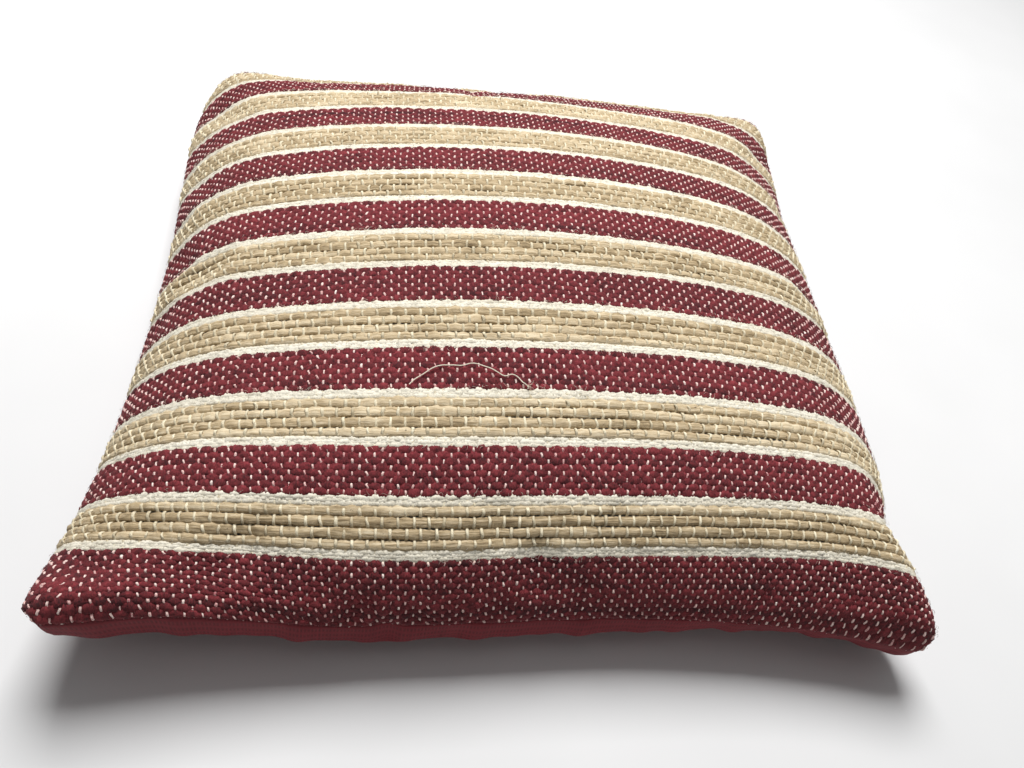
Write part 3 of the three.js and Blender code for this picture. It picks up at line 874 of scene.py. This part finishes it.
maroon_yarn = fuzzy_yarn("maroon_yarn", (0.40, 0.53, 0.68),
                         (0.040, 0.006, 0.008), (0.135, 0.0150, 0.0190), (0.26, 0.034, 0.042))
cotton_yarn = fuzzy_yarn("white_cotton", (0.32, 0.55, 0.80),
                         (0.58, 0.52, 0.40), (0.76, 0.71, 0.59), (0.90, 0.87, 0.77))
jute_yarn = jute_material("jute")
cream_warp = warp_yarn("cream_warp")
back_cotton = plain_cloth("back_cotton", (0.075, 0.008, 0.011), (0.205, 0.018, 0.025), 0.0011)
case_cotton = plain_cloth("case_cotton", (0.62, 0.61, 0.58), (0.90, 0.89, 0.86), 0.0012)
loose_fibre = object_cloth("loose_fibre", (0.75, 0.75, 0.73), (0.95, 0.95, 0.93), 120)
tape_cloth = object_cloth("tape_cloth", (0.05, 0.006, 0.011), (0.15, 0.014, 0.026), 900)
coil_nylon = nylon("coil_nylon", (0.10, 0.010, 0.018), (0.19, 0.020, 0.034))
nickel = metal("nickel", (0.35, 0.35, 0.36), (0.72, 0.72, 0.73))
thread_cotton = object_cloth("thread_cotton", (0.55, 0.48, 0.36), (0.92, 0.87, 0.74), 900)
sewing_thread = object_cloth("sewing_thread", (0.09, 0.008, 0.015), (0.20, 0.02, 0.035), 1500)
yarn_materials = {MAROON: maroon_yarn, COTTON: cotton_yarn, JUTE: jute_yarn}


def finish_piece(piece, material, body="root", replaced=()):
    """Give a piece its material and its body, and hide the CAD nodes that it stands for."""
    piece.data.materials.append(material)
    if replaced:
        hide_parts(*replaced)
    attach(piece, body)
    return piece


def sheet_grid(sheet, count, inset, height):
    """Points and cloth coordinates of a coarser grid, `inset` from the seams, `height` up."""
    line = np.linspace(inset, CLOTH - inset, count)
    across, along = np.meshgrid(line, line, indexing="ij")
    return sheet.at(across, along, np.full_like(across, height)), across, along


def grid_object(name, layers, flips):
    """One mesh of square grids of points; each layer is (points, across, along)."""
    vertices, loops, uvs, start = [], [], [], 0
    for (points, across, along), flip in zip(layers, flips):
        n = points.shape[0]
        quads = grid_quads(start + np.arange(n * n).reshape(n, n), flip)
        vertices.append(points.reshape(-1, 3))
        cloth = np.stack([across, along], -1).reshape(-1, 2)
        uvs.append(cloth[(quads - start).ravel()])
        loops.append(quads.ravel())
        start += n * n
    loops = np.concatenate(loops)
    obj = mesh_object(name, np.concatenate(vertices), loops, np.full(len(loops) // 4, 4))
    set_yarn_map(obj, np.concatenate(uvs))
    return obj


# ---------------------------------------------------------------- the woven front panel
bands = weave_plan()
for band in bands:
    piece = weft_piece(top, band)
    finish_piece(piece, yarn_materials[band["yarn"]], replaced=[band["node"]])
for piece in warp_pieces(top, bands):
    finish_piece(piece, cream_warp)

for name, yarn, count, reach, thickness in (
    ("maroon_fuzz", MAROON, 6500, 0.0032, 0.00010),
    ("cotton_fuzz", COTTON, 7000, 0.0032, 0.00011),
    ("jute_fuzz", JUTE, 500, 0.007, 0.00011),
):
    finish_piece(stray_fibres(name, top, bands, yarn, count, reach, thickness),
                 yarn_materials[yarn])


# ---------------------------------------------------------------- the back panel
BACK_THICKNESS = 0.0012


def back_piece():
    """The plain back: its edge puckers a little along the seam and it lies flat on the floor."""
    # the two lines past each seam are the seam allowance
    line = np.concatenate([[-0.006, -0.003], np.linspace(0, CLOTH, 301), [0.603, 0.606]])
    across, along = np.meshgrid(line, line, indexing="ij")
    edge = np.minimum(np.minimum(across, CLOTH - across), np.minimum(along, CLOTH - along))
    edge = np.maximum(edge, 0)
    fade = np.exp(-edge / 0.030) * (1 - np.exp(-edge / 0.004))
    run = np.where(np.minimum(across, CLOTH - across) < np.minimum(along, CLOTH - along),
                   along, across)
    pucker = np.zeros_like(run)
    for pitch, size in ((0.061, 1.0), (0.037, 0.7), (0.023, 0.45)):
        phase = rng.uniform(0, 2 * np.pi)
        pucker += size * np.sin(2 * np.pi * run / pitch + phase + 14 * edge)
    height = 0.0004 + 0.0011 * pucker * fade
    points = under.at(across, along, -height)
    points[..., 2] = np.maximum(points[..., 2], 0.0003)
    back = grid_object("back_cloth", [(points, across, along)], [True])
    shell = back.modifiers.new("thickness", "SOLIDIFY")
    shell.thickness = BACK_THICKNESS
    shell.offset = -1
    return back


back = finish_piece(back_piece(), back_cotton, replaced=["back_panel"])


# ---------------------------------------------------------------- insert
INSERT_POINTS = 61             # points along a side of the insert's panels


def insert_layer(inset, depth_top, depth_under):
    """The two panels of a bag inside the cover, joined along their rim."""
    upper = sheet_grid(top, INSERT_POINTS, inset, -depth_top)
    lower = sheet_grid(under, INSERT_POINTS, inset, depth_under)
    rim = np.zeros((INSERT_POINTS, INSERT_POINTS), bool)
    rim[[0, -1]] = True
    rim[:, [0, -1]] = True
    seam = (upper[0][rim] + lower[0][rim]) / 2
    upper[0][rim] = seam
    lower[0][rim] = seam
    return upper, lower


case_top, case_under = insert_layer(0.030, 0.0075, 0.0045)
for name, layer, flip, node in (("case_top", case_top, False, "insert_case_top"),
                                ("case_under", case_under, True, "insert_case_bottom")):
    piece = finish_piece(grid_object(name, [layer], [flip]), case_cotton,
                         replaced=[node])
fill_top, fill_under = insert_layer(0.036, 0.0095, 0.0065)
lumps = 0.0006 * np.sin(fill_top[1] * 190) * np.cos(fill_top[2] * 170)
lumps[[0, -1]] = lumps[:, [0, -1]] = 0
fill_top[0][..., 2] += lumps
piece = finish_piece(grid_object("filling", [fill_top, fill_under], [False, True]), loose_fibre,
                     replaced=["fibre_filling"])


# ---------------------------------------------------------------- the zip
# Its own frame in millimetres: along the seam, out of the cushion, and up.
TAPE_HALF, CHAIN_HALF = 205.0, 195.0    # half the length of the tapes and of the chain
COIL_PITCH, STITCH_PITCH = 1.5, 3.0
STOP_NEAR, STOP_FAR, STOP_OUT = 196.0, 198.5, 1.35   # ends and middle of a stop on the chain
SLIDER_X, BAR_OUT = 189.0, 5.45         # the slider at rest, and the pull tab's eye on its crown


def zip_place(points, along=0.0):
    """From the zip's frame to the cushion's."""
    points = np.asarray(points, float) + np.array([along, 0.0, 0.0])
    return points * MM + np.array([0.0, ZIP_Y, ZIP_Z])


def plate(outline, low, high, chamfer=0.25):
    """Rings of a flat plate over `outline`, (along, up) points, from `low` to `high` outwards."""
    outline = np.asarray(outline, float)
    middle = (outline.max(axis=0) + outline.min(axis=0)) / 2
    half = np.ptp(outline, axis=0) / 2
    small = middle + (outline - middle) * (1 - chamfer / half)
    rings = []
    for shape, level in ((small, low), (outline, low + chamfer),
                         (outline, high - chamfer), (small, high)):
        rings.append(np.stack([shape[:, 0], np.full(len(shape), level), shape[:, 1]], -1))
    return np.array(rings)


def mirrored(half_outline):
    """A closed outline from its upper half, given from one end to the other."""
    half_outline = np.asarray(half_outline, float)
    return np.concatenate([half_outline, half_outline[::-1] * [1, -1]])


def barrel(start, stop, middle, half):
    """A rounded, ridged block along the chain: a clamped stop."""
    rings = []
    box, cos_r, sin_r = rounded_square(16, 5)
    for t in np.linspace(0, 1, 13):
        size = 0.80 + 0.20 * np.sin(np.pi * t) ** 0.5 - 0.05 * np.cos(6 * np.pi * t) ** 2
        rings.append(np.stack([
            np.full(16, start + (stop - start) * t),
            middle[0] + half[0] * size * box * cos_r,
            middle[1] + half[1] * size * box * sin_r,
        ], -1))
    return np.array(rings)


def tape_piece(name, side):
    """One woven tape: a thin ribbed strip that waves a little and turns in at its ends."""
    steps = 214
    x = np.linspace(-TAPE_HALF - 12, TAPE_HALF + 7, steps)
    wave = 0.05 * np.sin(x / 2.1) + wander(1, x, 16, 0.05)[0]
    turned = -5.0 * np.clip((np.abs(x) - TAPE_HALF + 6) / 15, 0, 1) ** 2
    # round the strip: out across its face, then back behind it
    face = np.linspace(0.75, 10.9, 9)
    section = [(up, 0.0) for up in face] + [(up, -0.55) for up in face[::-1]]
    rings = np.zeros((1, steps, len(section), 3))
    for k, (up, out) in enumerate(section):
        rib = 0.05 * (k % 2)
        level = out - 0.05 + rib * np.sign(out + 0.2) + wave * (up / 11) + turned
        rings[0, :, k] = np.stack([x, level, np.full(steps, side * up)], -1)
    if side < 0:
        rings = rings[:, :, ::-1]
    return tubes(name, zip_place(rings), x[None] * MM, np.zeros((1, steps)))


def coil_piece(name, side):
    """One nylon coil: its turns' heads reach past the middle, between the other coil's."""
    turns = int(2 * CHAIN_HALF / COIL_PITCH)
    t = np.linspace(0, turns, 14 * turns + 1)
    angle = 2 * np.pi * t
    x = -CHAIN_HALF + COIL_PITCH * (t + (0.5 if side > 0 else 0.0))
    head = np.clip(-np.cos(angle), 0, 1) ** 3
    up = 1.45 - 1.40 * -np.cos(angle) - 0.12 * head
    out = 1.38 + 0.78 * np.sin(angle)
    keep = x <= CHAIN_HALF
    path = np.stack([x, out, side * up], -1)[keep]
    thick = 0.29 + 0.05 * head[keep]
    return swept(name, zip_place(path)[None], (thick * MM)[None], 6, (1, 0, 0))


def stitch_piece(name, side):
    """The row of stitches along a tape: each comes up, runs over and goes down again."""
    starts = np.arange(-TAPE_HALF + 4, TAPE_HALF - 4, STITCH_PITCH)
    s = np.linspace(0, 1, 7)
    x = starts[:, None] + STITCH_PITCH * 0.86 * s[None]
    lift = -0.15 + 0.32 * np.sin(np.pi * s)[None] ** 0.5 + np.zeros_like(x)
    sewn = np.stack([x, lift, np.full_like(x, side * 5.1)], -1)
    return swept(name, zip_place(sewn), 0.17 * MM, 5)


def coil_stitch_piece(name, side):
    """The chain stitch that holds a coil to its tape, in two lines over its turns."""
    x = np.arange(-CHAIN_HALF + 1, CHAIN_HALF - 0.5, 0.25)
    paths = [np.stack([x, 2.42 + 0.10 * np.cos(2 * np.pi * x / COIL_PITCH + phase),
                       np.full(len(x), side * up)], -1) for up, phase in ((1.6, 0.0), (2.2, 1.5))]
    return swept(name, zip_place(np.array(paths)), 0.13 * MM, 5)


def slider_piece():
    """The slider: two plates, their side flanges, the wedge between them and the crown."""
    upper = [(-5.5, 0.6), (-5.4, 2.8), (-4.8, 3.8), (-2.0, 4.2), (1.5, 4.65), (4.0, 4.7),
             (5.0, 4.3), (5.5, 3.2), (5.5, 0.6)]
    shells = [(plate(mirrored(upper), 2.8, 4.0, 0.3), False),
              (plate(mirrored(upper), -2.1, -0.9, 0.3), False)]
    for side in (1, -1):
        rail = [(-4.8, 3.8), (-2.0, 4.2), (1.5, 4.65), (4.4, 4.7),
                (4.4, 3.6), (1.5, 3.55), (-2.0, 3.4), (-4.8, 3.4)]
        rail = np.array(rail) * [1, side]
        shells.append((plate(rail, 0.3, 2.95, 0.15), False))
    wedge = [(1.0, 0.12), (3.4, 0.45), (5.2, 0.45)]
    shells.append((plate(mirrored(wedge), -1.0, 2.9, 0.05), False))
    # the crown: a rounded strap bent into an arch
    arch = np.array([(-3.45, 3.7), (-3.45, 4.6), (-3.38, 5.5), (-3.05, 6.35), (-2.3, 6.85),
                     (-1.2, 7.0), (0.0, 7.03), (1.2, 7.0), (2.3, 6.85), (3.05, 6.35),
                     (3.38, 5.5), (3.45, 4.6), (3.45, 3.7)])
    tangent = np.gradient(arch, axis=0)
    tangent /= np.linalg.norm(tangent, axis=1, keepdims=True)
    normal = np.stack([-tangent[:, 1], tangent[:, 0]], -1)
    box, cos_r, sin_r = rounded_square(12, 4)
    thick = 0.5 + 0.15 * np.clip((5.5 - arch[:, 1]) / 1.8, 0, 1)
    rings = []
    for centre, out, half in zip(arch, normal, thick):
        flat = centre + out * (half * box * cos_r)[:, None]
        rings.append(np.stack([flat[:, 0], flat[:, 1], 0.8 * box * sin_r], -1))
    shells.append((np.array(rings), False))
    return solid_object("slider_body", [(zip_place(r, SLIDER_X), looped) for r, looped in shells])


def evenly(outline, count):
    """`count` points evenly along a closed outline."""
    outline = np.asarray(outline, float)
    closed = np.concatenate([outline, outline[:1]])
    run = np.concatenate([[0], np.cumsum(np.linalg.norm(np.diff(closed, axis=0), axis=1))])
    at = np.linspace(0, run[-1], count, endpoint=False)
    return np.stack([np.interp(at, run, closed[:, k]) for k in (0, 1)], -1)


def pull_piece():
    """The pull tab: a chamfered plate with a window, and a raised panel on each face."""
    round_end = [(-22.6 - 3.4 * math.sin(a), 3.4 * math.cos(a)) for a in np.linspace(0, np.pi, 17)]
    outer = [(0.6, 0.0), (0.6, 1.9), (0.3, 2.25), (-2.5, 2.7), (-5.2, 3.4), *round_end,
             (-5.2, -3.4), (-2.5, -2.7), (0.3, -2.25), (0.6, -1.9)]
    inner = [(-0.6, 0.0), (-0.6, 0.9), (-0.9, 1.2), (-4.8, 1.2), (-5.2, 0.8),
             (-5.2, -0.8), (-4.8, -1.2), (-0.9, -1.2), (-0.6, -0.9)]
    count = 72
    outer, inner = evenly(outer, count), evenly(inner, count)

    def inset(shape, amount):
        ahead = np.roll(shape, -1, axis=0) - np.roll(shape, 1, axis=0)
        ahead /= np.linalg.norm(ahead, axis=1, keepdims=True)
        return shape + amount * np.stack([-ahead[:, 1], ahead[:, 0]], -1)

    area = np.sum(outer[:, 0] * np.roll(outer[:, 1], -1) - np.roll(outer[:, 0], -1) * outer[:, 1])
    sign = 1 if area > 0 else -1
    section = [
        (inset(outer, 0.22 * sign), -0.6), (outer, -0.36), (outer, 0.36),
        (inset(outer, 0.22 * sign), 0.6), (inset(inner, -0.12 * sign), 0.6), (inner, 0.42),
        (inner, -0.42), (inset(inner, -0.12 * sign), -0.6),
    ]
    rings = np.stack([
        np.stack([shape[:, 0], np.full(count, BAR_OUT + level), shape[:, 1]], -1)
        for shape, level in section], axis=1)
    panel = [(-8.2 - 1.9 * math.sin(a), 1.9 * math.cos(a)) for a in np.linspace(-np.pi, 0, 9)]
    panel += [(-22.2 - 1.9 * math.sin(a), 1.9 * math.cos(a)) for a in np.linspace(0, np.pi, 9)]
    shells = [(rings, True),
              (plate(panel, BAR_OUT + 0.5, BAR_OUT + 0.8, 0.12), False),
              (plate(panel, BAR_OUT - 0.8, BAR_OUT - 0.5, 0.12), False)]
    return solid_object("pull_tab", [(zip_place(r, SLIDER_X), looped) for r, looped in shells])


for word, side in (("upper", 1), ("lower", -1)):
    finish_piece(tape_piece(f"tape_{word}", side), tape_cloth,
                 replaced=[f"zip_tape_{word}"])
    finish_piece(coil_piece(f"coil_{word}", side), coil_nylon,
                 replaced=[f"zip_coil_{word}"])
    finish_piece(stitch_piece(f"tape_stitches_{word}", side), sewing_thread)
    finish_piece(coil_stitch_piece(f"coil_stitches_{word}", side), sewing_thread)
    stop = solid_object(f"top_stop_{word}", [
        (zip_place(barrel(STOP_NEAR, STOP_FAR, (STOP_OUT, side * 1.9), (1.05, 1.2))), False)])
    finish_piece(stop, nickel, replaced=[f"zip_top_stop_{word}"])
stop = solid_object("bottom_stop", [
    (zip_place(barrel(-STOP_FAR, -STOP_NEAR, (STOP_OUT, 0.0), (1.05, 3.0))), False)])
finish_piece(stop, nickel, replaced=["zip_bottom_stop"])
finish_piece(slider_piece(), nickel, "zip_slider", ["zip_slider"])
finish_piece(pull_piece(), nickel, "zip_pull", ["zip_pull"])


# ---------------------------------------------------------------- the loose thread
THREAD_ROUTE = [
    (-0.0830, -0.1410), (-0.0790, -0.1370), (-0.0740, -0.1335), (-0.0685, -0.1300),
    (-0.0635, -0.1282), (-0.0575, -0.1286), (-0.0520, -0.1288), (-0.0455, -0.1274),
    (-0.0400, -0.1282), (-0.0345, -0.1300), (-0.0300, -0.1328), (-0.0250, -0.1353),
    (-0.0203, -0.1343), (-0.0164, -0.1358), (-0.0138, -0.1393), (-0.0115, -0.1410),
]
THREAD_DIAMETER = 0.0007


def cloth_height(points):
    """Height of the top sheet over points of the plan, from its nearest grid points."""
    grid = top.points.reshape(-1, 3)
    heights = []
    for point in points:
        far = np.hypot(grid[:, 0] - point[0], grid[:, 1] - point[1])
        near = np.argpartition(far, 6)[:6]
        weight = 1 / (far[near] + 1e-4) ** 2
        heights.append(np.sum(grid[near, 2] * weight) / np.sum(weight))
    return np.array(heights)


def thread_path():
    """The route as a smooth curve that lies on the yarns and rises a little in its middle."""
    route = np.array(THREAD_ROUTE)
    plan = cubic_weights(len(route) - 1, 10 * (len(route) - 1)) @ route
    s = np.linspace(0, 1, len(plan))
    lift = 0.0030 + 0.0012 * np.sin(np.pi * s) ** 2 + 0.0003 * np.sin(41 * s)
    height = np.interp(s, np.linspace(0, 1, len(route)), cloth_height(route))
    return np.column_stack([plan, height + lift])


thread_line = thread_path()
thread_curve = bpy.data.curves.new("thread_line", "CURVE")
thread_curve.dimensions = "3D"
thread_curve.bevel_depth = THREAD_DIAMETER / 2
thread_curve.bevel_resolution = 3
spline = thread_curve.splines.new("POLY")
spline.points.add(len(thread_line) - 1)
spline.points.foreach_set("co", np.column_stack([thread_line, np.ones(len(thread_line))]).ravel())
thread = link(bpy.data.objects.new("thread_line", thread_curve))
finish_piece(thread, thread_cotton, replaced=["loose_thread"])


def frayed_ends(name, count=9):
    """Fibres that fan out of the thread's right end."""
    tip, before = thread_line[-1], thread_line[-6]
    heading = math.atan2(tip[1] - before[1], tip[0] - before[0])
    s = np.linspace(0, 1, 9)
    paths = []
    for k in range(count):
        angle = heading + 1.1 * (k / (count - 1) - 0.45) + rng.normal(0, 0.1)
        bend = rng.normal(0, 1.1)
        reach = rng.uniform(0.0025, 0.0065)
        turn = angle + bend * s
        x = tip[0] + np.cumsum(np.cos(turn)) * reach / 9
        y = tip[1] + np.cumsum(np.sin(turn)) * reach / 9
        z = tip[2] + rng.uniform(-0.0004, 0.0012) * s
        line = np.stack([x, y, z], -1)
        line[0] = tip
        paths.append(line)
    return swept(name, np.array(paths), 0.00012 * (1 - 0.5 * s)[None] * np.ones((count, 1)), 4)


fray = finish_piece(frayed_ends("frayed_end"), thread_cotton)
